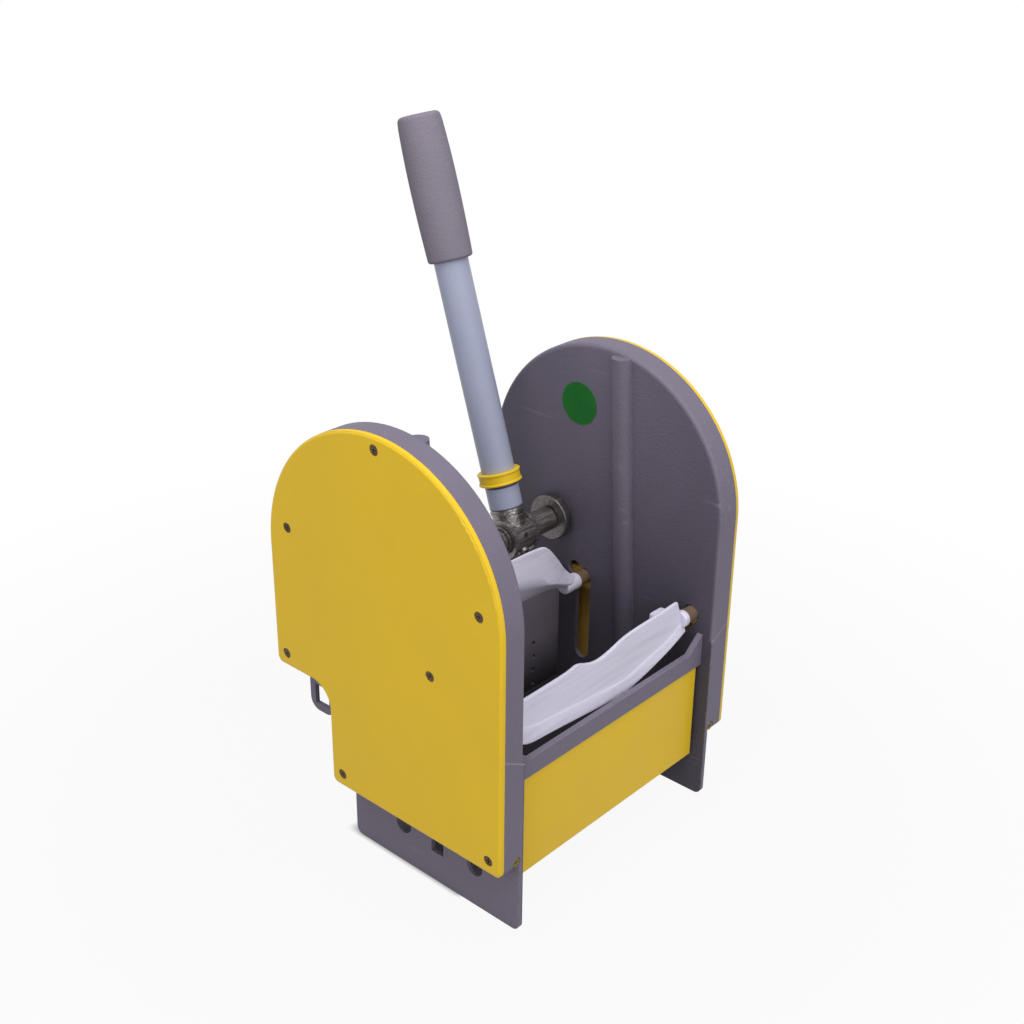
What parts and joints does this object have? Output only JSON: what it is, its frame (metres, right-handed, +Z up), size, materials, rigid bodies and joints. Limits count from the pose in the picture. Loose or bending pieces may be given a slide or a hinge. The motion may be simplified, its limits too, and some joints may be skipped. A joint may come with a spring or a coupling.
{
  "type": "mop wringer",
  "caption": "Lever mop press: arched grey side frames with yellow covers carry a handle on a cross shaft that slides white jaw bars down converging slots to squeeze a mop.",
  "frame": {"origin": "middle of the bounding box at the feet's lower edge", "axes": "+Z up, X across the wringer along the lever shaft, -Y towards the yellow front panel"},
  "size_m": [0.278, 0.2866, 0.5466],
  "materials": {
    "frame_grey": "fine-grained grey moulded plastic",
    "yellow_plastic": "satin yellow moulded plastic, scuffed",
    "dark_plastic": "dark grey moulded plastic",
    "jaw_white": "plain white moulded plastic",
    "gear_nylon": "off-white moulded nylon",
    "green_label": "plain green film",
    "cast_metal": "dark cast metal, worn",
    "shaft_steel": "turned steel",
    "screw_steel": "yellow-passivated screw steel",
    "brass": "brass",
    "tube_paint": "blue-grey paint",
    "grip_rubber": "fine-ribbed grey grip"
  },
  "bodies": {
    "frame": {"side_frame_right": "frame_grey", "side_frame_left": "frame_grey", "cover_right": "yellow_plastic", "cover_left": "yellow_plastic", "cover_screws": "screw_steel", "front_rail": "frame_grey", "front_panel": "yellow_plastic", "rear_panel": "dark_plastic", "tie_screws": "screw_steel", "front_screws": "brass", "green_disc": "green_label", "shaft_bush_right": "cast_metal", "shaft_bush_left": "cast_metal"},
    "lever": {"lever_shaft": "shaft_steel", "sleeve_right": "cast_metal", "sleeve_left": "cast_metal", "handle_hub": "cast_metal", "hub_pin": "shaft_steel", "handle_tube": "tube_paint", "handle_band": "yellow_plastic", "handle_grip": "grip_rubber", "drive_gear_right": "gear_nylon", "drive_gear_left": "gear_nylon", "shaft_clips": "shaft_steel"},
    "rear_jaw": {"carrier_right": "yellow_plastic", "carrier_left": "yellow_plastic", "rear_jaw_bar": "jaw_white", "rear_trunnion_clips": "shaft_steel"},
    "front_jaw": {"front_jaw_bar": "jaw_white", "front_trunnion_clips": "shaft_steel"}
  },
  "joints": [
    {"name": "handle_swing", "type": "hinge", "parent": "frame", "child": "lever", "pos_m": [0, 0.02344, 0.2115], "axis": [1, 0, 0], "range_deg": [0, 93.76]},
    {"name": "rear_jaw_slide", "type": "slide", "parent": "frame", "child": "rear_jaw", "axis": [0, 0, -1], "range_m": [0, 0.0721]},
    {"name": "front_jaw_slide", "type": "slide", "parent": "frame", "child": "front_jaw", "axis": [0, 0.5519, -0.8339], "range_m": [0, 0.0865]}
  ],
  "couplings": [
    {"joint": "rear_jaw_slide", "follows": "handle_swing", "m_per_rad": 0.044},
    {"joint": "front_jaw_slide", "follows": "handle_swing", "m_per_rad": 0.052765}
  ]
}
